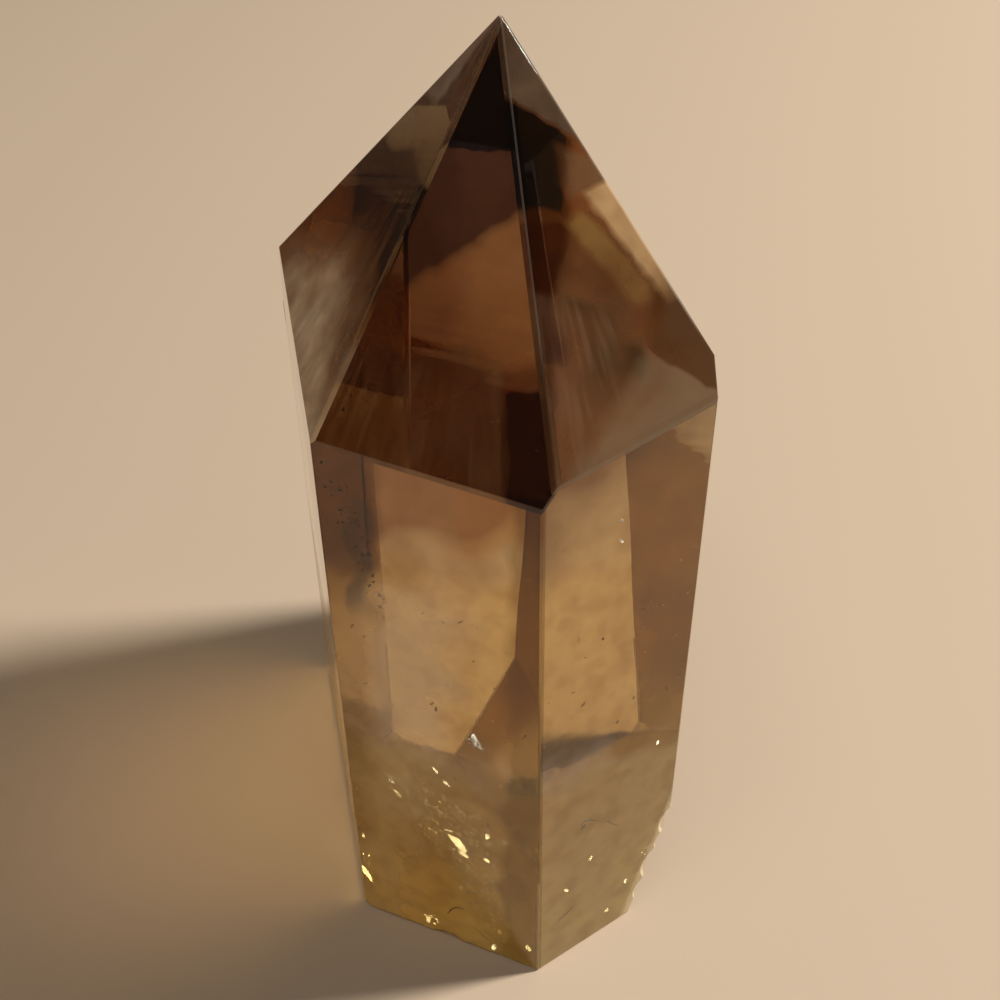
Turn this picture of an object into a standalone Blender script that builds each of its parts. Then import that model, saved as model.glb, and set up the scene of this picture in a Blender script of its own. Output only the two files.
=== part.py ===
"""A citrine crystal point: one six-sided quartz crystal on a flat ground foot.

The crystal is a hexagonal prism, broader front to back than side to side, closed
by six inclined faces that meet in one blunt tip.  Every edge is slightly rounded
by polishing.  A long slanting break runs up the right side of the foot, and small
shell-shaped chips sit along that break and along the foot's lower edge.

Origin: middle of the foot, on the face it stands on.  +Z runs up the crystal,
-Y towards the two narrow front faces.  Built in metres; the tables are in mm.
"""

import math

import bmesh
import bpy
from mathutils import Vector

MM = 0.001

# The six upright faces: (name, azimuth of the outward normal in degrees,
# distance from the Z axis in mm, lean of the normal in degrees, + is upward).
PRISM_FACES = (
    ("front left", -114.5, 22.42, 0.0),
    ("front right", -55.2, 24.99, 0.0),
    ("right", 6.0, 15.74, -0.7),
    ("back right", 69.5, 25.51, 2.0),
    ("back left", 123.8, 21.89, 0.0),
    ("left", -169.1, 15.44, 0.0),
)

# The six faces of the point all pass through one apex: (name, azimuth of the
# outward normal in degrees, slope from the horizontal in degrees).
APEX = Vector((2.63, -3.58, 84.95))
POINT_FACES = (
    ("front left", -112.9, 52.3),
    ("front right", -59.5, 49.9),
    ("right", 14.0, 60.4),
    ("back right", 69.5, 46.0),
    ("back left", 132.0, 52.35),
    ("left", -161.8, 54.1),
)

# The tip is blunt: a worn cap, and a chip that slopes down to the right.
# (name, azimuth and slope in degrees, a point of the face in mm)
TIP_FACES = (
    ("worn cap", 170.0, 12.0, (2.50, -3.60, 84.72)),
    ("tip chip", 12.0, 34.0, (2.72, -3.62, 84.62)),
)

# The foot: the flat it stands on, and the break that slants up its right side.
FOOT_BREAK = ("right foot break", 8.0, 10.66, -17.9)

# Rounding of the polished edges, as a radius in mm.
RIDGE_RADIUS = 0.32
UPRIGHT_RADIUS = 0.30
SHOULDER_RADIUS = 0.24
FOOT_RADIUS = 0.40
TIP_RADIUS = 0.10
ROUNDING_STEPS = (0.2, 0.5, 0.8)

# Shell-shaped chips: (name, middle of the chip on the edge in mm, azimuth and
# elevation in degrees of the way out of the stone, radius and depth in mm).
CHIPS = (
    ("break_top", (17.66, -18.15, 11.7), -30.0, -6.0, 3.4, 0.62),
    ("break_upper", (17.05, -18.60, 9.3), -24.0, -14.0, 2.2, 0.44),
    ("break_middle", (16.25, -19.15, 6.6), -32.0, -10.0, 3.8, 0.66),
    ("break_lower", (15.10, -19.90, 3.1), -22.0, -8.0, 2.6, 0.42),
    ("foot_front_left", (-3.60, -22.98, 0.0), -118.0, -38.0, 2.7, 0.62),
    ("foot_front_nick", (1.70, -25.35, 0.0), -112.0, -34.0, 1.5, 0.34),
    ("foot_left_corner", (-12.02, -19.16, 0.0), -140.0, -30.0, 2.4, 0.60),
    ("foot_left", (-17.20, 5.60, 0.0), -172.0, -40.0, 4.2, 0.70),
    ("foot_back", (-9.60, 19.90, 0.0), 126.0, -36.0, 3.6, 0.80),
    ("foot_back_tip", (0.87, 26.80, 0.0), 96.0, -24.0, 2.8, 0.74),
    ("left_shoulder", (-17.98, 11.60, 49.9), -172.0, 18.0, 2.2, 0.26),
)
CHIP_DETAIL = 4

# Colour of the stone: smoky honey brown.
STONE_COLOUR = (0.62, 0.42, 0.20, 1.0)
QUARTZ_IOR = 1.544


def clear_scene():
    for obj in list(bpy.data.objects):
        bpy.data.objects.remove(obj, do_unlink=True)


def direction(azimuth, elevation):
    """Unit vector from an azimuth about +Z and an elevation, in degrees."""
    a = math.radians(azimuth)
    e = math.radians(elevation)
    return Vector((math.cos(a) * math.cos(e), math.sin(a) * math.cos(e), math.sin(e)))


def crystal_planes():
    """Every flat face as (kind, outward normal, distance from the origin in mm)."""
    planes = []
    for _, azimuth, distance, lean in PRISM_FACES:
        planes.append(("upright", direction(azimuth, lean), distance))
    for _, azimuth, slope in POINT_FACES:
        normal = direction(azimuth, 90.0 - slope)
        planes.append(("point", normal, normal.dot(APEX)))
    for _, azimuth, slope, spot in TIP_FACES:
        normal = direction(azimuth, 90.0 - slope)
        planes.append(("tip", normal, normal.dot(Vector(spot))))
    _, azimuth, distance, lean = FOOT_BREAK
    planes.append(("foot", direction(azimuth, lean), distance))
    planes.append(("foot", Vector((0.0, 0.0, -1.0)), 0.0))
    return planes


def cut_solid(planes):
    """Closed convex mesh of the space inside all the planes, in mm."""
    mesh = bmesh.new()
    bmesh.ops.create_cube(mesh, size=400.0)
    for _, normal, distance in planes:
        cut = bmesh.ops.bisect_plane(
            mesh,
            geom=mesh.verts[:] + mesh.edges[:] + mesh.faces[:],
            dist=1e-5,
            plane_co=normal * distance,
            plane_no=normal,
            clear_outer=True,
        )
        rim = [item for item in cut["geom_cut"] if isinstance(item, bmesh.types.BMEdge)]
        if rim:
            bmesh.ops.contextual_create(mesh, geom=rim)
    bmesh.ops.remove_doubles(mesh, verts=mesh.verts[:], dist=2e-3)
    bmesh.ops.dissolve_degenerate(mesh, edges=mesh.edges[:], dist=2e-3)
    bmesh.ops.recalc_face_normals(mesh, faces=mesh.faces[:])
    return mesh


def edge_radius(first, second):
    """Rounding radius of the edge between two faces, in mm, by their kinds."""
    kinds = {first, second}
    if "tip" in kinds:
        return TIP_RADIUS
    if "foot" in kinds:
        return FOOT_RADIUS
    if kinds == {"upright", "point"}:
        return SHOULDER_RADIUS
    return RIDGE_RADIUS if kinds == {"point"} else UPRIGHT_RADIUS


def rounding_planes(planes):
    """Narrow faces tangent to a small cylinder along every edge of the stone."""
    sharp = cut_solid(planes)
    sharp.normal_update()
    extra = []
    for edge in sharp.edges:
        ends = []
        for face in edge.link_faces:
            match = max(planes, key=lambda plane: plane[1].dot(face.normal))
            ends.append(match)
        first, second = ends
        turn = first[1].angle(second[1])
        if turn < math.radians(8.0):
            continue
        radius = edge_radius(first[0], second[0])
        middle = (edge.verts[0].co + edge.verts[1].co) / 2.0
        inward = -(first[1] + second[1]).normalized()
        centre = middle + inward * (radius / math.cos(turn / 2.0))
        for step in ROUNDING_STEPS:
            normal = first[1].slerp(second[1], step)
            extra.append(("rounding", normal, normal.dot(centre) + radius))
    sharp.free()
    return extra


def add_mesh_object(name, mesh, scale):
    """Turn a mesh drawn in mm into an object in metres."""
    bmesh.ops.scale(mesh, vec=(scale, scale, scale), verts=mesh.verts[:])
    data = bpy.data.meshes.new(name)
    mesh.to_mesh(data)
    mesh.free()
    obj = bpy.data.objects.new(name, data)
    bpy.context.scene.collection.objects.link(obj)
    return obj


def add_chip(stone, name, spot, azimuth, elevation, radius, depth):
    """Scoop a shell-shaped chip out of an edge with a ball just outside it."""
    mesh = bmesh.new()
    bmesh.ops.create_icosphere(mesh, subdivisions=CHIP_DETAIL, radius=radius)
    middle = Vector(spot) + direction(azimuth, elevation) * (radius - depth)
    bmesh.ops.translate(mesh, vec=middle, verts=mesh.verts[:])
    cutter = add_mesh_object("cutter_" + name, mesh, MM)
    cutter.hide_render = True
    cutter.display_type = "WIRE"
    chip = stone.modifiers.new("chip_" + name, "BOOLEAN")
    chip.operation = "DIFFERENCE"
    chip.solver = "EXACT"
    chip.object = cutter


def stone_material():
    material = bpy.data.materials.new("citrine")
    material.use_nodes = True
    shader = material.node_tree.nodes["Principled BSDF"]
    shader.inputs["Base Color"].default_value = STONE_COLOUR
    shader.inputs["Roughness"].default_value = 0.03
    shader.inputs["IOR"].default_value = QUARTZ_IOR
    shader.inputs["Transmission Weight"].default_value = 1.0
    return material


def build_crystal():
    planes = crystal_planes()
    planes += rounding_planes(planes)
    stone = add_mesh_object("crystal_point", cut_solid(planes), MM)
    for chip in CHIPS:
        add_chip(stone, *chip)
    stone.data.materials.append(stone_material())
    return stone


clear_scene()
build_crystal()
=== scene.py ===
import math
import random

import bmesh
import bpy
from mathutils import Matrix, Vector


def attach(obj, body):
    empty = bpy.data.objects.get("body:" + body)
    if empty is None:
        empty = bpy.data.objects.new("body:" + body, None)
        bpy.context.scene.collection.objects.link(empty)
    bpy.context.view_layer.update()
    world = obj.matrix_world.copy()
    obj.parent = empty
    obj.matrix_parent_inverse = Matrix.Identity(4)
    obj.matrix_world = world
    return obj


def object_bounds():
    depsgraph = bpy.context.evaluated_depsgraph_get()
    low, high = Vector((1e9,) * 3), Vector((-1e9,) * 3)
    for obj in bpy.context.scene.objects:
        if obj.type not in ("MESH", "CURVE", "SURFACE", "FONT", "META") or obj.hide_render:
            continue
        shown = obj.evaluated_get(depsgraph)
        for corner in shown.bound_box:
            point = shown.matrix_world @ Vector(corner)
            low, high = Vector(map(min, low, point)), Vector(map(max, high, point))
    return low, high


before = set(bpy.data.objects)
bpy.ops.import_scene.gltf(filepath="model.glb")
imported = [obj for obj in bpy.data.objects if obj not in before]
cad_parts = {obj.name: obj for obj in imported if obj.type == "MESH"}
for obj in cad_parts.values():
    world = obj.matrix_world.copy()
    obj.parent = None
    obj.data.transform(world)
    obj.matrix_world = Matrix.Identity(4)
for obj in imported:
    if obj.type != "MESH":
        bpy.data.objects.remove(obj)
cad_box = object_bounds()
MM = 0.001

# Table top. A plain, pale, warm stone-coloured top that runs far past the crystal on every side,
# honed matt. The crystal stands on it, and it is what shows through the clear prism.
TABLE_RADIUS = 1.6
TABLE_RIM_POINTS = 96
TABLE_COLOUR = (0.63, 0.52, 0.405, 1.0)
TABLE_ROUGHNESS = 0.65
TABLE_GLINT = 0.2
TABLE_GAP = 0.02 * MM

bpy.ops.mesh.primitive_circle_add(
    vertices=TABLE_RIM_POINTS,
    radius=TABLE_RADIUS,
    fill_type="NGON",
    location=(0, 0, cad_box[0].z - TABLE_GAP),
)
table = bpy.context.object
table.name = "table_top"
table_finish = bpy.data.materials.new("honed_table")
table_finish.use_nodes = True
honed = table_finish.node_tree.nodes["Principled BSDF"]
honed.inputs["Base Color"].default_value = TABLE_COLOUR
honed.inputs["Roughness"].default_value = TABLE_ROUGHNESS
honed.inputs["Specular IOR Level"].default_value = TABLE_GLINT
table.data.materials.append(table_finish)

# Room and lamps. A dim warm room, one warm softbox to the right and slightly behind, and a broad
# weak panel overhead.
ROOM_COLOUR = (1.0, 0.80, 0.62, 1.0)
ROOM_STRENGTH = 0.068
LAMP_AIM = Vector((0, 0, 30 * MM))
# name, azimuth, height in degrees, distance and width in m, power in W, colour
LAMPS = (
    ("key_softbox", 10.0, 42.0, 1.0, 0.16, 12.0, (1.0, 0.92, 0.82)),
    ("top_panel", -120.0, 72.0, 1.5, 0.7, 3.3, (1.0, 0.94, 0.86)),
)

room = bpy.data.worlds.new("room")
room.use_nodes = True
dim_air = room.node_tree.nodes["Background"]
dim_air.inputs["Color"].default_value = ROOM_COLOUR
dim_air.inputs["Strength"].default_value = ROOM_STRENGTH
bpy.context.scene.world = room


def direction(azimuth, height):
    """The way that an azimuth round the foot and a height above level point to, in degrees."""
    a, e = math.radians(azimuth), math.radians(height)
    return Vector((math.cos(a) * math.cos(e), math.sin(a) * math.cos(e), math.sin(e)))


def hang_lamp(name, azimuth, height, distance, size, power, colour):
    away = direction(azimuth, height)
    data = bpy.data.lights.new(name, "AREA")
    data.shape = "DISK"
    data.size = size
    data.energy = power
    data.color = colour
    lamp = bpy.data.objects.new(name, data)
    lamp.location = away * distance + LAMP_AIM
    lamp.rotation_mode = "QUATERNION"
    lamp.rotation_quaternion = (-away).to_track_quat("-Z", "Y")
    bpy.context.scene.collection.objects.link(lamp)


for lamp_facts in LAMPS:
    hang_lamp(*lamp_facts)

# Camera. A normal lens held close, above the front of the crystal and looking down at it at
# forty degrees, with a slight turn of the wrist.
CAMERA_PLACE = Vector((2.0719, -105.3351, 125.0745)) * MM
CAMERA_DOWN = math.radians(40.0)
CAMERA_ROLL = math.radians(-0.869)
CAMERA_LENS = 52.5
CAMERA_FILM_WIDTH = 36.0
CAMERA_NEAR = 5 * MM

camera_data = bpy.data.cameras.new("camera")
camera_data.sensor_width = CAMERA_FILM_WIDTH
camera_data.lens = CAMERA_LENS
camera_data.clip_start = CAMERA_NEAR
camera = bpy.data.objects.new("camera", camera_data)
bpy.context.scene.collection.objects.link(camera)
look = Vector((0, math.cos(CAMERA_DOWN), -math.sin(CAMERA_DOWN)))
level_right = Vector((1, 0, 0))
level_up = level_right.cross(look)
right = math.cos(CAMERA_ROLL) * level_right + math.sin(CAMERA_ROLL) * level_up
up = -math.sin(CAMERA_ROLL) * level_right + math.cos(CAMERA_ROLL) * level_up
camera_turn = Matrix((right, up, -look)).transposed()
camera.matrix_world = Matrix.Translation(CAMERA_PLACE) @ camera_turn.to_4x4()
bpy.context.scene.camera = camera

# The crystal. One clear quartz crystal, honey yellow through its body and passing into brown smoke
# towards the point. It grew in one piece; the faces are polished and the foot is ground matt.
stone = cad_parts["crystal_point"]
QUARTZ_IOR = 1.544
HONEY_COLOUR = (0.767, 0.553, 0.093, 1.0)
HONEY_DENSITY = 26.0

quartz = bpy.data.materials.new("citrine")
quartz.use_nodes = True
nodes = quartz.node_tree.nodes
links = quartz.node_tree.links
polished = nodes["Principled BSDF"]
out = nodes["Material Output"]


def feed(socket, value):
    """Give a socket a value, or link it when the value comes from another node."""
    if isinstance(value, bpy.types.NodeSocket):
        links.new(value, socket)
    else:
        socket.default_value = value


def maths(operation, first, second=0.0, third=0.0, clamp=False):
    """One step of arithmetic on numbers that vary over the stone."""
    made = nodes.new("ShaderNodeMath")
    made.operation = operation
    made.use_clamp = clamp
    for socket, value in zip(made.inputs, (first, second, third)):
        feed(socket, value)
    return made.outputs[0]


def vectors(operation, *values):
    """One step of arithmetic on places or ways."""
    made = nodes.new("ShaderNodeVectorMath")
    made.operation = operation
    for socket, value in zip(made.inputs, values):
        feed(socket, value)
    return made.outputs["Value" if operation == "DOT_PRODUCT" else "Vector"]


def blend(factor, first, second, kind="MIX"):
    """The first colour at factor 0, passing into the second, or their product, at factor 1."""
    made = nodes.new("ShaderNodeMix")
    made.data_type = "RGBA"
    made.blend_type = kind
    feed(made.inputs["Factor"], factor)
    feed(made.inputs["A"], first)
    feed(made.inputs["B"], second)
    return made.outputs["Result"]


def noise(scale, detail, where):
    """Noise read at a place: "Fac" is one wavering number, and "Color" is three of them."""
    made = nodes.new("ShaderNodeTexNoise")
    made.inputs["Scale"].default_value = scale
    made.inputs["Detail"].default_value = detail
    feed(made.inputs["Vector"], where)
    return made.outputs


place = nodes.new("ShaderNodeNewGeometry").outputs["Position"]


def drift(size):
    """A direction that changes slowly from place to place, as noise about size mm across."""
    return vectors("SUBTRACT", noise(1.0 / (size * MM), 0.0, place)["Color"], (0.5, 0.5, 0.5))


def moved(shift, reach):
    """The place on the stone, shifted so that a border wanders by up to half of reach mm."""
    return vectors("MULTIPLY_ADD", shift, (reach * MM,) * 3, place)


# How the borders of the zones wander: size of the waves and how far they reach, in mm.
FINE_WAVE, BROAD_WAVE = 1.1, 3.6
CRISP_REACH, CLOUDY_REACH, LOOSE_REACH = 0.5, 2.6, 5.0
fine_drift, broad_drift = drift(FINE_WAVE), drift(BROAD_WAVE)
BORDERS = {
    "crisp": moved(fine_drift, CRISP_REACH),
    "cloudy": moved(broad_drift, CLOUDY_REACH),
    "loose": moved(broad_drift, LOOSE_REACH),
}


def soft_side(where, spot, way, fade):
    """1 beyond the plane through spot facing way (mm), 0 before it, over a fade in mm."""
    spot, way = Vector(spot), Vector(way)
    along = vectors("DOT_PRODUCT", where, tuple(way / (fade * MM)))
    return maths("ADD", along, 0.5 - spot.dot(way) / fade, clamp=True)


# The place that every face of the point runs through, in mm.
APEX = Vector((2.63, -3.58, 84.95))
# The upright walls: azimuth of the outward normal in degrees, distance from the middle of the foot
# in mm, lean in degrees.
WALLS = {
    "wall_front_left": (-114.5, 22.42, 0.0),
    "wall_front_right": (-55.2, 24.99, 0.0),
    "wall_right": (6.0, 15.74, -0.7),
    "wall_back_right": (69.5, 25.51, 2.0),
    "wall_back_left": (123.8, 21.89, 0.0),
    "wall_left": (-169.1, 15.44, 0.0),
}
# The faces of the point, which all meet at the apex: azimuth and slope in degrees.
POINT_FACES = {
    "point_front_left": (-112.9, 52.3),
    "point_front_right": (-59.5, 49.9),
    "point_right": (14.0, 60.4),
    "point_back_right": (69.5, 46.0),
    "point_back_left": (132.0, 52.35),
    "point_left": (-161.8, 54.1),
}

FACES = {name: (direction(a, lean), d) for name, (a, d, lean) in WALLS.items()}
for name, (a, slope) in POINT_FACES.items():
    normal = direction(a, 90.0 - slope)
    FACES[name] = (normal, normal.dot(APEX))
# The slanting break up the right side of the foot.
BREAK_WAY, BREAK_DISTANCE = direction(8.0, -17.9), 10.66
# The patches of a face also cover what lies this far under it, in mm: rounded edges and shallow
# chips.
FACE_DEPTH = 0.30
along_face = {name: vectors("DOT_PRODUCT", place, tuple(n)) for name, (n, _) in FACES.items()}
on_face = {}


def face_mask(name):
    """1 on one face of the stone, 0 on all the others."""
    if name not in on_face:
        distance = FACES[name][1]
        on_face[name] = maths("COMPARE", along_face[name], distance * MM, FACE_DEPTH * MM)
    return on_face[name]


def patch_mask(face, border, sides, strength=1.0):
    """The part of a face (or of the whole stone) that lies inside every soft side."""
    mask = face_mask(face) if face else None
    for side in sides:
        part = soft_side(BORDERS[border], *side)
        mask = part if mask is None else maths("MULTIPLY", mask, part)
    return mask if strength == 1.0 else maths("MULTIPLY", mask, strength)


# Smoke and painted shade: how much of the light each zone lets through (red, green, blue).
# The smoke is the stone's own colour; the darkest zones also hold painted shade, the dark room
# seen through the stone, fixed on the faces.
# (face or None for all of them, border, colour, soft sides). A soft side is a place on its
# border in mm, the way into the zone, and the width of the fade in mm.
SMOKE_AND_PAINTED_SHADE = (
    # olive tinge in the lowest third
    (None, "loose", (1.0, 0.89, 0.55), (((0.0, 0.0, 26.5), (0.0, 0.0, -1.0), 5.0),)),
    ("wall_front_left", "loose", (0.84, 0.74, 0.62),
     (((-3.68, -22.95, 13.55), (-0.91, 0.414, 0.007), 5.22),
      ((-7.49, -21.22, 17.58), (-0.187, 0.085, -0.979), 6.67))),
    (None, "loose", (0.22, 0.11, 0.075), (((-2.5, 0.0, 52.9), (-0.481, -0.111, 0.870), 7.3),)),
    # dark reddish smoke above the slanting border in the front left face, deepened by painted
    # shade:
    # the dark room seen through the stone there
    ("point_front_left", "crisp", (0.075, 0.055, 0.09),
     (((-0.08, -13.62, 71.6), (-0.446, 0.678, 0.585), 0.9),
      ((-4.82, -15.3, 67.2), (0.951, -0.247, 0.185), 0.3))),
    # the glow below it dies away to the left and downwards
    ("point_front_left", "crisp", (0.80, 0.66, 0.55), ()),
    ("point_front_left", "cloudy", (0.50, 0.36, 0.32),
     (((-0.39, -16.79, 67.66), (-0.947, 0.173, -0.271), 3.03),
      ((-4.82, -15.3, 67.2), (0.951, -0.247, 0.185), 0.3))),
    ("point_front_left", "cloudy", (0.36, 0.26, 0.26),
     (((0.03, -18.57, 65.75), (-0.042, -0.631, -0.775), 1.72),)),
    ("point_front_left", "crisp", (0.10, 0.07, 0.06),
     (((0.03, -18.57, 65.75), (-0.042, -0.631, -0.775), 1.72),
      ((-4.82, -15.3, 67.2), (-0.951, 0.247, -0.185), 0.6))),
    # almost black zones, painted shade over the smoke where the dark room shows through the stone:
    # the very tip, the left strip and the box beside the front ridge
    ("point_front_left", "crisp", (0.03, 0.06, 0.30),
     (((1.07, -9.41, 77.2), (0.134, 0.603, 0.787), 0.12),
      ((0.63, -6.25, 80.75), (0.816, -0.533, -0.224), 0.16))),
    ("point_front_left", "crisp", (0.30, 0.32, 0.6),
     (((-4.82, -15.3, 67.2), (-0.951, 0.247, -0.185), 0.3),)),
    ("point_front_left", "crisp", (0.10, 0.07, 0.18),
     (((1.97, -22.49, 62.03), (0.951, -0.246, 0.186), 0.6),
      ((3.2, -21.04, 64.39), (-0.035, -0.633, -0.773), 0.43))),
    # the black band down the front right face beside the ridge
    ("point_front_right", "crisp", (0.008, 0.020, 0.13),
     (((5.76, -7.86, 78.7), (-0.385, -0.751, -0.537), 0.47),
      ((7.42, -10.28, 75.22), (-0.918, -0.217, 0.331), 1.1),
      ((6.54, -12.67, 73.31), (0.071, 0.718, 0.692), 1.48))),
    ("point_front_right", "cloudy", (0.10, 0.06, 0.08),
     (((6.54, -12.67, 73.31), (-0.071, -0.718, -0.692), 1.48),
      ((7.55, -14.94, 70.37), (-0.893, -0.097, 0.439), 1.7))),
    # the tip above the band, dimmed under the painted reflection laid on it among the veils
    ("point_front_right", "crisp", (0.12, 0.12, 0.12),
     (((5.76, -7.86, 78.7), (0.385, 0.751, 0.537), 0.63),)),
    # the rest of that face is browner, most of all in its right corner
    ("point_front_right", "cloudy", (0.80, 0.66, 0.42),
     (((7.42, -10.28, 75.22), (0.918, 0.217, -0.331), 0.95),)),
    ("point_front_right", "crisp", (0.30, 0.20, 0.10),
     (((15.36, -17.18, 63.39), (0.412, 0.749, 0.518), 0.4),
      ((13.05, -16.47, 65.51), (0.91, 0.16, -0.384), 1.3))),
    # dark upper part of the left face
    ("point_left", "cloudy", (0.05, 0.045, 0.05),
     (((-9.45, -1.62, 69.92), (0.637, -0.363, 0.68), 2.12),)),
    # amber patch at the top of the front left wall
    ("wall_front_left", "cloudy", (0.95, 0.70, 0.38),
     (((1.86, -25.48, 53.21), (-0.38, 0.173, 0.909), 1.26),
      ((-1.26, -24.06, 53.94), (0.91, -0.414, -0.035), 1.64))),
    # darker edges of the two front walls
    ("wall_front_left", "cloudy", (0.42, 0.36, 0.22),
     (((2.25, -25.65, 32.92), (0.91, -0.414, -0.032), 1.05),)),
    ("wall_front_left", "cloudy", (0.42, 0.36, 0.26),
     (((-8.74, -20.65, 37.09), (-0.908, 0.413, 0.076), 1.8),)),
    ("wall_front_left", "cloudy", (0.30, 0.21, 0.13),
     (((-8.74, -20.65, 37.09), (-0.908, 0.413, 0.076), 1.8),
      ((-9.4, -20.35, 43.5), (-0.141, 0.064, 0.988), 7.0))),
    ("wall_front_right", "loose", (0.50, 0.46, 0.42),
     (((14.08, -20.64, 40.04), (0.819, 0.569, 0.07), 1.7),
      ((13.55, -21.01, 46.86), (-0.325, -0.226, -0.918), 4.0),
      ((14.4, -20.43, 32.32), (0.443, 0.307, 0.842), 4.2))),
    ("wall_front_right", "cloudy", (0.70, 0.65, 0.58),
     (((9.39, -23.91, 49.64), (0.273, 0.19, 0.943), 4.0),)),
)

body_and_shade_tint = (1.0, 1.0, 1.0, 1.0)
for face, border, colour, sides in SMOKE_AND_PAINTED_SHADE:
    body_and_shade_tint = blend(patch_mask(face, border, sides), body_and_shade_tint, (*colour, 1.0), "MULTIPLY")


def cloud(size, detail, stretch=(1.0, 1.0, 1.0)):
    """Noise whose clouds are about size mm across."""
    return noise(1.0 / (size * MM), detail, vectors("MULTIPLY", place, stretch))["Fac"]


def above(value, level, fade):
    """0 under a level, 1 over it, over a fade."""
    return maths("MULTIPLY_ADD", value, 1.0 / fade, 0.5 - level / fade, clamp=True)


# Uneven colour: the whole stone is slightly clouded.
CLOUD_SIZE = 3.9
MOTTLE_COLOUR = (0.66, 0.56, 0.46, 1.0)
MOTTLE_LEVEL, MOTTLE_FADE, MOTTLE_STRENGTH = 0.54, 0.26, 0.6
clouds = cloud(CLOUD_SIZE, 2.0)
mottle = maths("MULTIPLY", above(clouds, MOTTLE_LEVEL, MOTTLE_FADE), MOTTLE_STRENGTH)
body_and_shade_tint = blend(mottle, body_and_shade_tint, MOTTLE_COLOUR, "MULTIPLY")

# The lowest third is faintly etched, and flecked with brownish olive.
ETCHED_TOP, ETCHED_FADE = 27.0 * MM, 8.0 * MM
FLECK_SIZE = 2.2
FLECK_COLOUR = (0.58, 0.47, 0.32, 1.0)
FLECK_LEVEL, FLECK_FADE, FLECK_STRENGTH = 0.55, 0.18, 0.45
height = vectors("DOT_PRODUCT", place, (0, 0, 1))
etched = maths("SUBTRACT", 1.0, above(height, ETCHED_TOP, ETCHED_FADE))
flecks = maths("MULTIPLY", above(cloud(FLECK_SIZE, 1.0), FLECK_LEVEL, FLECK_FADE), etched)
flecks = maths("MULTIPLY", flecks, FLECK_STRENGTH)
body_and_shade_tint = blend(flecks, body_and_shade_tint, FLECK_COLOUR, "MULTIPLY")
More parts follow.
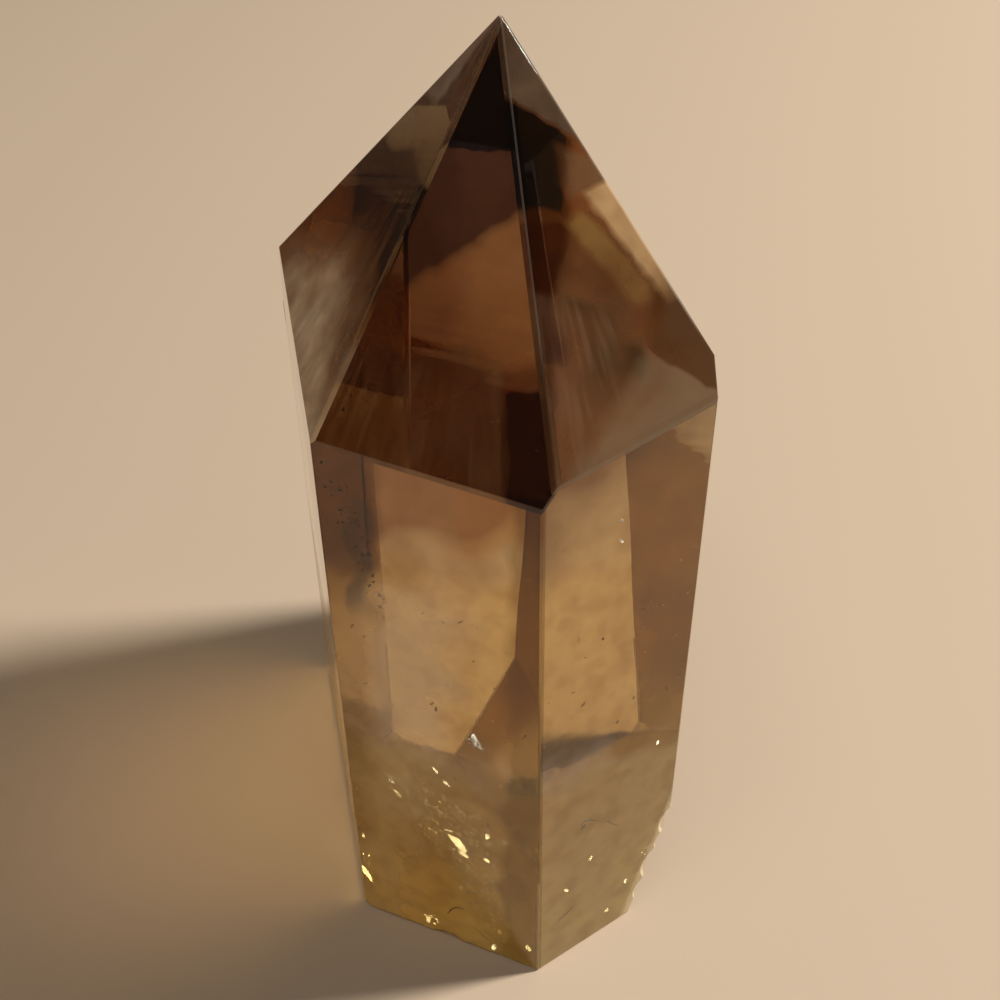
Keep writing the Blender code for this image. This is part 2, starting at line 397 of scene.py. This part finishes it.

# Veils and painted light: thin milky or golden films healed in just under a face, and films that
# paint reflections and light seen through the stone onto a face.
# (face, border, colour, strength, soft sides)
VEILS_AND_PAINTED_LIGHT = (
    # even brown haze in the lower left corner of the front left face
    ("point_front_left", "cloudy", (0.12, 0.04, 0.012), 0.42,
     (((0.03, -18.57, 65.75), (-0.042, -0.631, -0.775), 1.72),
      ((-4.82, -15.3, 67.2), (-0.951, 0.247, -0.185), 0.6))),
    # red-brown haze in the lower part of the front left face, clear of the dark box
    ("point_front_left", "cloudy", (0.21, 0.10, 0.055), 0.44,
     (((0.03, -18.57, 65.75), (-0.042, -0.631, -0.775), 1.72),
      ((1.97, -22.49, 62.03), (-0.951, 0.246, -0.186), 0.8),
      ((-4.82, -15.3, 67.2), (0.951, -0.247, 0.185), 2.0))),
    # brown haze over the front right face, right of the black band
    ("point_front_right", "cloudy", (0.20, 0.095, 0.034), 0.50,
     (((7.42, -10.28, 75.22), (0.918, 0.217, -0.331), 0.95),)),
    # dark patches in it
    ("point_front_right", "cloudy", (0.10, 0.05, 0.025), 0.55,
     (((9.55, -16.12, 67.97), (-0.126, -0.731, -0.671), 1.19),
      ((10.79, -18.26, 65.04), (-0.87, -0.03, 0.493), 1.26))),
    ("point_front_right", "loose", (0.055, 0.026, 0.010), 0.95,
     (((10.02, -15.49, 68.33), (-0.075, -0.72, -0.69), 1.9),
      ((10.52, -19.95, 63.46), (-0.008, 0.697, 0.717), 2.4),
      ((7.74, -17.36, 67.79), (0.912, 0.374, -0.166), 1.7),
      ((12.32, -16.95, 65.45), (-0.92, -0.31, 0.238), 1.8))),
    ("point_front_right", "cloudy", (0.075, 0.038, 0.018), 0.75,
     (((13.32, -18.43, 63.33), (0.885, 0.07, -0.461), 1.61),)),
    # olive band, and a golden strip along the right edge that is painted light: the lit table seen
    # through the stone
    ("point_front_right", "crisp", (0.24, 0.15, 0.042), 0.5,
     (((11.3, -12.63, 70.48), (-0.637, -0.697, -0.33), 0.58),
      ((9.93, -13.95, 69.96), (0.639, 0.696, 0.327), 0.73),
      ((8.9, -11.14, 73.48), (0.458, -0.469, -0.755), 0.9),
      ((13.22, -14.07, 67.85), (-0.506, 0.432, 0.746), 1.03))),
    ("point_front_right", "crisp", (0.50, 0.33, 0.165), 0.78,
     (((11.98, -12.5, 70.2), (0.686, 0.673, 0.276), 0.6),
      ((8.9, -10.14, 74.48), (0.458, -0.469, -0.755), 0.57),
      ((13.9, -13.8, 67.4), (-0.506, 0.432, 0.746), 2.0))),
    # grey lens above it
    ("point_front_right", "crisp", (0.15, 0.10, 0.055), 0.62,
     (((6.99, -10.07, 75.7), (0.915, 0.362, -0.18), 0.97),
      ((8.49, -8.54, 76.35), (-0.195, -0.742, -0.641), 0.62),
      ((8.68, -10.22, 74.52), (-0.424, 0.493, 0.759), 0.71))),
    # smoky grey wedge at the right shoulder
    ("point_front_right", "crisp", (0.18, 0.12, 0.068), 0.70,
     (((15.36, -17.18, 63.39), (-0.412, -0.749, -0.518), 0.32),
      ((9.7, -21.8, 62.0), (0.748, -0.183, -0.638), 1.65))),
    # painted reflection: the grey tip above the black band
    ("point_front_right", "crisp", (0.12, 0.08, 0.05), 0.8,
     (((5.76, -7.86, 78.7), (0.385, 0.751, 0.537), 0.63),)),
    # painted reflection of the far table on the left face: strong over its lower part, thinner
    # at its top
    ("point_left", "cloudy", (1.0, 0.76, 0.50), 0.97,
     (((-10.7, -5.1, 66.8), (-0.272, -0.701, -0.66), 4.9),
      ((-8.9, -9.8, 67.1), (-0.637, 0.366, -0.679), 8.0))),
    ("point_left", "cloudy", (0.34, 0.24, 0.17), 0.6,
     (((-4.8, -3.2, 75.3), (0.482, 0.371, 0.794), 2.59),)),
    ("point_left", "crisp", (0.62, 0.45, 0.33), 0.6,
     (((-0.06, -4.03, 81.22), (-0.245, 0.965, 0.095), 0.46),
      ((-2.58, -1.18, 79.14), (0.32, -0.947, 0.011), 0.5),
      ((-1.83, -5.26, 78.36), (0.543, 0.222, 0.81), 0.77))),
    # light clouds in the front left wall
    ("wall_front_left", "loose", (1.0, 0.80, 0.50), 0.42,
     (((-1.38, -24.0, 49.34), (0.5, -0.227, -0.836), 6.0),
      ((-1.76, -23.83, 40.4), (-0.899, 0.409, 0.153), 5.04))),
    # dark smudge near its left edge
    ("wall_front_left", "cloudy", (0.035, 0.016, 0.007), 0.55,
     (((-9.56, -20.28, 48.45), (0.908, -0.413, -0.063), 0.63),
      ((-8.15, -20.92, 49.0), (-0.909, 0.414, 0.054), 0.62),
      ((-8.43, -20.79, 55.08), (0.19, -0.086, -0.978), 0.97),
      ((-9.17, -20.46, 42.5), (-0.199, 0.09, 0.976), 1.58))),
    # small dark cloud beside the front edge
    ("wall_front_left", "crisp", (0.05, 0.025, 0.008), 0.75,
     (((2.43, -25.73, 26.47), (0.91, -0.414, 0.039), 0.9),
      ((5.07, -26.93, 27.9), (-0.91, 0.414, -0.03), 0.9),
      ((3.63, -26.28, 28.19), (0.398, -0.181, -0.899), 0.9),
      ((3.63, -26.28, 25.67), (-0.406, 0.185, 0.895), 1.0))),
    # pale bruised rim where the foot broke away
    ("wall_front_right", "crisp", (1.0, 0.84, 0.62), 0.62,
     ((tuple(BREAK_WAY * (BREAK_DISTANCE - 1.0)), tuple(BREAK_WAY), 0.7),)),
    # milky haze in the lowest third of the two front walls
    ("wall_front_left", "loose", (0.50, 0.34, 0.03), 0.22,
     (((-4.14, -22.75, 27.4), (0.254, -0.116, -0.96), 3.0),)),
    ("wall_front_right", "loose", (0.36, 0.25, 0.03), 0.22,
     (((11.93, -22.14, 26.37), (-0.325, -0.226, -0.918), 3.0),)),
)

# Every film here, veils and painted light alike, is uneven: it is weakest between the clouds.
FILM_LEVEL, FILM_FADE = 0.5, 0.35
FILM_WEAKEST, FILM_GAIN = 0.6, 0.5

film_colour = body_and_shade_tint
clear_share = 1.0


def lay(mask, colour):
    """One more film on the stone: the colour of all of them, and the share that stays clear."""
    covered = blend(mask, film_colour, colour)
    return covered, maths("MULTIPLY", clear_share, maths("SUBTRACT", 1.0, mask))


evenness = maths("MULTIPLY_ADD", above(clouds, FILM_LEVEL, FILM_FADE), FILM_GAIN, FILM_WEAKEST)
for face, border, colour, strength, sides in VEILS_AND_PAINTED_LIGHT:
    mask = maths("MULTIPLY", patch_mask(face, border, sides, strength), evenness)
    film_colour, clear_share = lay(mask, (*colour, 1.0))

# Silky streaks that fan out from the tip in three of the veils.
# (face, strength, soft sides)
STREAK_COLOUR = (0.42, 0.29, 0.18, 1.0)
STREAK_ZONES = (
    ("point_front_left", 0.12, (((0.03, -18.57, 65.75), (-0.042, -0.631, -0.775), 1.72),
                                ((1.97, -22.49, 62.03), (-0.951, 0.246, -0.186), 0.6))),
    ("point_front_right", 0.09, (((10.54, -16.09, 67.41), (-0.124, -0.73, -0.672), 2.24),
                                 ((10.79, -18.26, 65.04), (-0.87, -0.03, 0.493), 1.26))),
    ("point_left", 0.30, (((-10.18, -3.66, 68.08), (-0.272, -0.701, -0.66), 4.49),)),
)
# How many streaks the fan holds across, and how soon they break off along their length.
STREAK_FINENESS = 30.0
STREAK_BREAKS = 7.0
STREAK_LEVEL, STREAK_FADE = 0.56, 0.22
from_tip = vectors("SUBTRACT", place, tuple(APEX * MM))
fan = vectors("DIVIDE", from_tip, maths("SUBTRACT", APEX.z * MM, height))
broken_fan = vectors("MULTIPLY_ADD", place, (0, 0, STREAK_BREAKS), fan)
silk = noise(STREAK_FINENESS, 1.0, broken_fan)["Fac"]
streaks = above(silk, STREAK_LEVEL, STREAK_FADE)
for face, strength, sides in STREAK_ZONES:
    mask = maths("MULTIPLY", streaks, patch_mask(face, "cloudy", sides, strength))
    film_colour, clear_share = lay(mask, STREAK_COLOUR)

# Worn edges: every rounded edge is a narrow, duller line, most of all near the tip, and the chips
# low down are paler. The long break beside them is a glassy fracture, only slightly dulled.
# What lies deeper than this under all the faces and the break, in mm, is an edge or a chip.
FLAT_DEPTH, BREAK_DEPTH = 0.0015, 0.02
WORN_COLOUR = (0.42, 0.30, 0.20, 1.0)
CHIPPED_COLOUR = (0.78, 0.68, 0.52, 1.0)
CHIPS_TOP = 14.0 * MM
RIDGE_FOOT, RIDGE_FADE = 67.0 * MM, 6.0 * MM
RIDGE_WEAR, CHIP_WEAR = 0.05, 0.55
worn = 1.0
for name, (_, distance) in FACES.items():
    flat = maths("COMPARE", along_face[name], distance * MM, FLAT_DEPTH * MM)
    worn = maths("MULTIPLY", worn, maths("SUBTRACT", 1.0, flat))
along_break = vectors("DOT_PRODUCT", place, tuple(BREAK_WAY))
broken = maths("COMPARE", along_break, BREAK_DISTANCE * MM, BREAK_DEPTH * MM)
worn = maths("MULTIPLY", worn, maths("SUBTRACT", 1.0, broken))
chipped = maths("LESS_THAN", height, CHIPS_TOP)
ridge = above(height, RIDGE_FOOT, RIDGE_FADE)
ridge_wear = maths("MULTIPLY", ridge, RIDGE_WEAR)
wear = maths("ADD", ridge_wear, maths("MULTIPLY", chipped, CHIP_WEAR))
worn_film = maths("MULTIPLY", worn, wear)
film_colour, clear_share = lay(worn_film, blend(chipped, WORN_COLOUR, CHIPPED_COLOUR))

# The foot is ground flat and matt, so it glows with the light that reaches it.
FOOT_COLOUR = (0.78, 0.60, 0.19, 1.0)
FOOT_TOP = 0.05 * MM
ground = maths("LESS_THAN", height, FOOT_TOP)
film_colour, clear_share = lay(ground, FOOT_COLOUR)

# Growth lines: faint level steps up the faces, over a slow swell left by the polishing wheel.
# Their sizes and heights in mm.
LINE_SIZE, LINE_STRETCH, LINE_HEIGHT = 1.0, (0.08, 0.08, 1.0), 0.004
SWELL_SIZE, SWELL_HEIGHT = 9.0, 0.045
lines = maths("MULTIPLY", cloud(LINE_SIZE, 0.0, LINE_STRETCH), LINE_HEIGHT)
swell = maths("MULTIPLY", cloud(SWELL_SIZE, 0.0), SWELL_HEIGHT)
relief = maths("ADD", lines, swell)
bump = nodes.new("ShaderNodeBump")
bump.inputs["Strength"].default_value = 1.0
bump.inputs["Distance"].default_value = MM
feed(bump.inputs["Height"], relief)

# Gloss: mirror smooth on the faces, duller on the worn edges, the break and the etched foot.
EDGE_ROUGHNESS, WEAR_ROUGHNESS = 0.15, 0.65
GROUND_ROUGHNESS, ETCHED_ROUGHNESS, BREAK_ROUGHNESS = 0.9, 0.16, 0.22
worst_wear = maths("MAXIMUM", ridge, chipped)
worn_roughness = maths("MULTIPLY_ADD", worst_wear, WEAR_ROUGHNESS, EDGE_ROUGHNESS)
roughness = maths("MULTIPLY", worn, worn_roughness)
for mask, dullness in (
    (ground, GROUND_ROUGHNESS),
    (etched, ETCHED_ROUGHNESS),
    (broken, BREAK_ROUGHNESS),
):
    roughness = maths("MAXIMUM", roughness, maths("MULTIPLY", mask, dullness))

feed(polished.inputs["Base Color"], film_colour)
feed(polished.inputs["Transmission Weight"], clear_share)
feed(polished.inputs["Roughness"], roughness)
feed(polished.inputs["Normal"], bump.outputs["Normal"])
polished.inputs["IOR"].default_value = QUARTZ_IOR
honey = nodes.new("ShaderNodeVolumeAbsorption")
honey.inputs["Color"].default_value = HONEY_COLOUR
honey.inputs["Density"].default_value = HONEY_DENSITY
links.new(honey.outputs["Volume"], out.inputs["Volume"])
stone.data.materials.clear()
stone.data.materials.append(quartz)

# Bright flakes. Tiny cleavage cracks inside the quartz: the air in each one mirrors the light like
# a leaf of tin. Most sit in the lowest third, and the smallest lie around the larger in nests.
CRACK_DARK, CRACK_LIGHT = (0.74, 0.78, 0.76, 1.0), (0.84, 0.94, 1.0, 1.0)
CRACK_FINENESS = 2500.0
CRACK_METAL, CRACK_ROUGHNESS = 0.85, 0.22
# place in mm, the way it faces, half length, half width in mm, turn in degrees
BRIGHT_FLAKES = (
    ((0.20, -21.91, 29.55), (0.37, -0.75, 0.55), 0.62, 0.34, 40),
    ((-1.82, -21.50, 14.50), (0.37, -0.73, 0.57), 1.45, 0.58, -98),
    ((-1.39, -21.70, 13.20), (0.37, -0.73, 0.57), 0.85, 0.36, -92),
    ((-2.60, -21.20, 15.90), (0.34, -0.75, 0.57), 0.55, 0.12, -52),
    ((-11.31, -18.12, 4.88), (0.53, -0.51, 0.68), 1.25, 0.50, 85),
    ((-11.18, -18.18, 10.83), (0.53, -0.51, 0.67), 0.34, 0.24, 60),
    ((-5.36, -21.10, 0.99), (0.52, -0.50, 0.69), 0.60, 0.34, 20),
    ((-3.41, -20.29, 23.61), (0.53, -0.52, 0.67), 0.40, 0.20, 100),
    ((-2.47, -20.72, 22.33), (0.52, -0.52, 0.68), 0.55, 0.22, 110),
    ((-7.61, -18.40, 20.03), (0.53, -0.52, 0.67), 0.42, 0.26, 90),
    ((-7.14, -18.62, 18.43), (0.53, -0.52, 0.67), 0.60, 0.28, 120),
    ((1.05, -24.30, 0.72), (0.36, -0.73, 0.59), 0.52, 0.28, 0),
    ((4.35, -25.60, 2.65), (0.36, -0.73, 0.59), 0.42, 0.32, 50),
    ((0.89, -23.19, 17.30), (0.37, -0.74, 0.57), 0.40, 0.26, 0),
    ((0.74, -23.13, 13.66), (0.37, -0.73, 0.57), 0.46, 0.26, 100),
    ((9.14, -21.10, 11.49), (0.57, -0.64, 0.51), 0.26, 0.18, 0),
    ((7.14, -23.48, 9.30), (0.58, -0.64, 0.51), 0.36, 0.18, 100),
    ((11.46, -20.99, 2.03), (0.57, -0.64, 0.52), 0.28, 0.22, 0),
    ((13.16, -19.31, 4.85), (0.57, -0.65, 0.51), 0.30, 0.22, 40),
    ((10.58, -19.98, 52.21), (0.56, -0.69, 0.46), 0.34, 0.12, 90),
    ((10.58, -19.99, 50.18), (0.56, -0.69, 0.47), 0.30, 0.12, 80),
    ((15.40, -17.80, 23.40), (0.69, -0.44, 0.57), 0.25, 0.18, 0),
)
# Nests of small ones: middle in mm, the way they face, spread in mm, number, largest in mm
SPARKLE_NESTS = (
    ((0.22, -21.92, 29.40), (0.37, -0.75, 0.55), 1.1, 30, 0.34),
    ((-1.60, -21.60, 13.90), (0.37, -0.73, 0.57), 2.2, 18, 0.22),
    ((-5.20, -21.10, 1.40), (0.52, -0.50, 0.69), 1.1, 16, 0.30),
    ((-11.10, -18.10, 7.20), (0.53, -0.51, 0.68), 1.6, 12, 0.26),
    ((15.20, -18.30, 8.00), (0.57, -0.65, 0.51), 1.6, 14, 0.24),
)
# How far the flakes of a nest tilt, the share of the largest that the smallest has, how wide they
# are for their length, and how deep they keep in mm.
NEST_TILT = 0.05
NEST_SMALLEST = 0.25
NEST_NARROWNESS = 0.55
NEST_SKIN = 0.2
# A flake's rim: number of corners, and how far they reach as shares of its length and width.
# How far the rim lifts and how thick the middle is, as shares of its half width.
FLAKE_RIM = 9
FLAKE_REACH = (0.68, 1.12)
FLAKE_LIFT = 0.01
FLAKE_THICKNESS = 0.02


def add_flake(mesh, chance, spot, facing, length, width, turn):
    """A thin irregular leaf, thickest in the middle, added to a mesh drawn in mm."""
    facing = Vector(facing).normalized()
    along = facing.orthogonal().normalized()
    across = facing.cross(along)
    angle = math.radians(turn)
    along, across = (
        along * math.cos(angle) + across * math.sin(angle),
        across * math.cos(angle) - along * math.sin(angle),
    )
    spot = Vector(spot)
    rim = []
    for i in range(FLAKE_RIM):
        a = math.tau * i / FLAKE_RIM
        reach = chance.uniform(*FLAKE_REACH)
        lift = facing * (chance.uniform(-FLAKE_LIFT, FLAKE_LIFT) * width)
        corner = along * (math.cos(a) * length * reach) + across * (math.sin(a) * width * reach)
        rim.append(mesh.verts.new(spot + corner + lift))
    top = mesh.verts.new(spot + facing * (FLAKE_THICKNESS * width))
    bottom = mesh.verts.new(spot - facing * (FLAKE_THICKNESS * width))
    for i in range(FLAKE_RIM):
        j = (i + 1) % FLAKE_RIM
        mesh.faces.new((rim[i], rim[j], top))
        mesh.faces.new((rim[j], rim[i], bottom))


def inside_stone(spot, skin):
    """True if a place in mm lies at least skin mm under every flat face."""
    spot = Vector(spot)
    if spot.z < skin or BREAK_WAY.dot(spot) > BREAK_DISTANCE - skin:
        return False
    return all(n.dot(spot) < d - skin for n, d in FACES.values())


def keep_inclusions(name, mesh, material):
    """Turn inclusions drawn in mm into a piece that stays in the stone."""
    bmesh.ops.recalc_face_normals(mesh, faces=mesh.faces[:])
    bmesh.ops.scale(mesh, vec=(MM, MM, MM), verts=mesh.verts[:])
    data = bpy.data.meshes.new(name)
    mesh.to_mesh(data)
    mesh.free()
    data.materials.append(material)
    piece = bpy.data.objects.new(name, data)
    bpy.context.scene.collection.objects.link(piece)
    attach(piece, "root")


def random_way(chance):
    """A way that points anywhere, each way as likely as the next."""
    return Vector((chance.gauss(0, 1), chance.gauss(0, 1), chance.gauss(0, 1))).normalized()


def two_toned(name, dark, light, fineness, metal, roughness):
    """A finish that wavers between two tones from one speck to the next."""
    finish = bpy.data.materials.new(name)
    finish.use_nodes = True
    tree = finish.node_tree
    specks = tree.nodes.new("ShaderNodeTexNoise")
    specks.inputs["Scale"].default_value = fineness
    tones = tree.nodes.new("ShaderNodeValToRGB")
    tones.color_ramp.elements[0].color = dark
    tones.color_ramp.elements[1].color = light
    shader = tree.nodes["Principled BSDF"]
    shader.inputs["Metallic"].default_value = metal
    shader.inputs["Roughness"].default_value = roughness
    tree.links.new(specks.outputs["Fac"], tones.inputs["Fac"])
    tree.links.new(tones.outputs["Color"], shader.inputs["Base Color"])
    return finish


crack_mirror = two_toned(
    "crack_mirror", CRACK_DARK, CRACK_LIGHT, CRACK_FINENESS, CRACK_METAL, CRACK_ROUGHNESS
)

chance = random.Random(41)
flakes = bmesh.new()
for spot, facing, length, width, turn in BRIGHT_FLAKES:
    add_flake(flakes, chance, spot, facing, length, width, turn)
for middle, facing, spread, number, largest in SPARKLE_NESTS:
    for _ in range(number):
        spot = Vector(middle) + random_way(chance) * (spread * chance.random())
        way = Vector(facing) + random_way(chance) * NEST_TILT
        size = largest * (NEST_SMALLEST + (1.0 - NEST_SMALLEST) * chance.random() ** 2)
        if inside_stone(spot, NEST_SKIN):
            width = size * NEST_NARROWNESS
            add_flake(flakes, chance, spot, way, size, width, chance.uniform(0, 180))
keep_inclusions("bright_flakes", flakes, crack_mirror)

# Healed veil. A crack that closed again while the crystal grew: a slanting sheet of hundreds of
# tiny pockets that runs from the left edge down to the front of the foot, and some loose ones.
POCKET_DARK, POCKET_LIGHT = (0.45, 0.34, 0.16, 1.0), (1.0, 0.86, 0.55, 1.0)
POCKET_FINENESS = 1800.0
POCKET_METAL, POCKET_ROUGHNESS = 0.25, 0.35
# Corners of the sheet, how far its pockets wander off it and how deep they keep, all in mm.
VEIL_CORNERS = (
    Vector((-8.43, -17.10, 21.40)),
    Vector((2.10, -24.20, 1.20)),
    Vector((4.10, -21.00, 16.60)),
)
VEIL_WANDER = 0.55
VEIL_SKIN = 0.35
VEIL_POCKETS = 420
# How much the pockets crowd along the line between the first two corners.
VEIL_CROWDING = 0.4
POCKET_WAY = Vector((0.45, -0.63, 0.63))
POCKET_TILT = 0.3
# Half widths of the pockets in mm, and how many times that their half lengths are.
POCKET_SIZES = (0.06, 0.24)
POCKET_LENGTHS = (1.0, 2.2)
LOOSE_POCKETS = 110
LOOSE_SKIN = 0.5
LOOSE_LENGTHS = (1.0, 2.0)
# Where the loose ones lie: range across, range from front to back and height in mm, and how
# much they crowd towards the foot.
LOOSE_ACROSS, LOOSE_DEEP, LOOSE_HEIGHT = (-17, 18), (-26, 26), 34.0
LOOSE_CROWDING = 1.4

pocket_skin = two_toned(
    "pocket_skin", POCKET_DARK, POCKET_LIGHT, POCKET_FINENESS, POCKET_METAL, POCKET_ROUGHNESS
)

chance = random.Random(7)
pockets = bmesh.new()
made = 0
while made < VEIL_POCKETS:
    s, t = chance.random(), chance.random()
    if s + t > 1.0:
        s, t = 1.0 - s, 1.0 - t
    t *= chance.random() ** VEIL_CROWDING
    spot = VEIL_CORNERS[0] + (VEIL_CORNERS[1] - VEIL_CORNERS[0]) * s
    spot += (VEIL_CORNERS[2] - VEIL_CORNERS[0]) * t + random_way(chance) * VEIL_WANDER
    if not inside_stone(spot, VEIL_SKIN):
        continue
    size = chance.uniform(*POCKET_SIZES)
    facing = POCKET_WAY + random_way(chance) * POCKET_TILT
    length = size * chance.uniform(*POCKET_LENGTHS)
    add_flake(pockets, chance, spot, facing, length, size, chance.uniform(0, 180))
    made += 1
made = 0
while made < LOOSE_POCKETS:
    across, deep = chance.uniform(*LOOSE_ACROSS), chance.uniform(*LOOSE_DEEP)
    spot = Vector((across, deep, LOOSE_HEIGHT * chance.random() ** LOOSE_CROWDING))
    if not inside_stone(spot, LOOSE_SKIN):
        continue
    size = chance.uniform(*POCKET_SIZES)
    facing = random_way(chance)
    length = size * chance.uniform(*LOOSE_LENGTHS)
    add_flake(pockets, chance, spot, facing, length, size, 0.0)
    made += 1
keep_inclusions("healed_veil", pockets, pocket_skin)

# Dark grains. Specks and short threads of dark mineral caught under the faces as the quartz grew,
# most of them in a strip down the left edge of the front left wall.
GRAIN_DARK, GRAIN_LIGHT = (0.09, 0.050, 0.024, 1.0), (0.20, 0.12, 0.06, 1.0)
GRAIN_FINENESS = 3000.0
GRAIN_METAL, GRAIN_ROUGHNESS = 0.0, 0.6
# half thickness of each thread, and the places that it runs through, in mm
DARK_THREADS = (
    (0.13, ((8.51, -23.32, 18.22), (8.9, -23.0, 18.6),
            (9.45, -22.67, 18.3), (10.42, -21.99, 17.17))),
    (0.07, ((10.42, -21.99, 17.17), (11.2, -21.4, 16.4),
            (11.73, -21.08, 15.6), (12.24, -20.73, 14.9))),
    (0.11, ((6.61, -24.85, 5.72), (7.1, -24.5, 6.0),
            (7.48, -24.24, 6.10), (8.16, -23.77, 6.6))),
    (0.10, ((-3.42, -22.16, 3.37), (-3.0, -22.3, 4.3),
            (-2.59, -22.54, 4.9), (-1.80, -22.90, 5.15))),
    (0.08, ((-0.9, -23.2, 2.7), (0.0, -23.6, 1.9), (0.6, -23.9, 1.5))),
)
THREAD_SIDES = 5
THREAD_TAPER = 0.45
# place in mm, half length, half width
DARK_SPOTS = (
    ((4.07, -25.45, 26.63), 0.40, 0.22),
    ((8.70, -23.00, 17.80), 0.38, 0.22),
)
SPOT_WAY = (-0.2, -0.8, 0.55)
# Ends of the strip, how far its grains wander and how deep they keep, all in mm.
GRAIN_STRIP = (Vector((-10.6, -18.9, 56.0)), Vector((-7.4, -20.4, 42.5)))
STRIP_WANDER = 1.0
STRIP_SKIN = 0.3
STRIP_GRAINS = 90
# Half widths of the grains in mm, and how many times that their half lengths are.
GRAIN_SIZES = (0.04, 0.17)
GRAIN_LENGTH = 1.6


def add_thread(mesh, path, radius):
    """A closed, slightly lumpy rod through the places of a path, in mm."""
    rings = []
    path = [Vector(p) for p in path]
    for i, spot in enumerate(path):
        ahead = path[min(i + 1, len(path) - 1)] - path[max(i - 1, 0)]
        side = ahead.orthogonal().normalized()
        other = ahead.cross(side).normalized()
        size = radius * (THREAD_TAPER if i in (0, len(path) - 1) else 1.0)
        ring = []
        for k in range(THREAD_SIDES):
            a = math.tau * k / THREAD_SIDES
            ring.append(mesh.verts.new(spot + (side * math.cos(a) + other * math.sin(a)) * size))
        rings.append(ring)
    for first, second in zip(rings, rings[1:]):
        for k in range(THREAD_SIDES):
            n = (k + 1) % THREAD_SIDES
            mesh.faces.new((first[k], first[n], second[n], second[k]))
    mesh.faces.new(rings[0])
    mesh.faces.new(rings[-1])


dark_mineral = two_toned(
    "dark_mineral", GRAIN_DARK, GRAIN_LIGHT, GRAIN_FINENESS, GRAIN_METAL, GRAIN_ROUGHNESS
)

chance = random.Random(23)
grains = bmesh.new()
for radius, path in DARK_THREADS:
    add_thread(grains, path, radius)
for spot, length, width in DARK_SPOTS:
    add_flake(grains, chance, spot, SPOT_WAY, length, width, 0.0)
made = 0
while made < STRIP_GRAINS:
    spot = GRAIN_STRIP[0].lerp(GRAIN_STRIP[1], chance.random())
    spot += random_way(chance) * STRIP_WANDER
    if not inside_stone(spot, STRIP_SKIN):
        continue
    size = chance.uniform(*GRAIN_SIZES)
    length, facing = size * GRAIN_LENGTH, random_way(chance)
    add_flake(grains, chance, spot, facing, length, size, chance.uniform(0, 180))
    made += 1
keep_inclusions("dark_grains", grains, dark_mineral)

# How the light is followed: enough turns inside the stone for its glow and for the bright patches
# that it throws on the table.
TURNS_IN_STONE = 24
TURNS_OFF_MIRRORS = 12
TURNS_OFF_TABLE = 4
cycles = bpy.context.scene.cycles
cycles.max_bounces = TURNS_IN_STONE
cycles.transmission_bounces = TURNS_IN_STONE
cycles.glossy_bounces = TURNS_OFF_MIRRORS
cycles.diffuse_bounces = TURNS_OFF_TABLE
cycles.transparent_max_bounces = TURNS_IN_STONE
cycles.caustics_reflective = True
cycles.caustics_refractive = True
bpy.context.scene.view_settings.view_transform = "Standard"
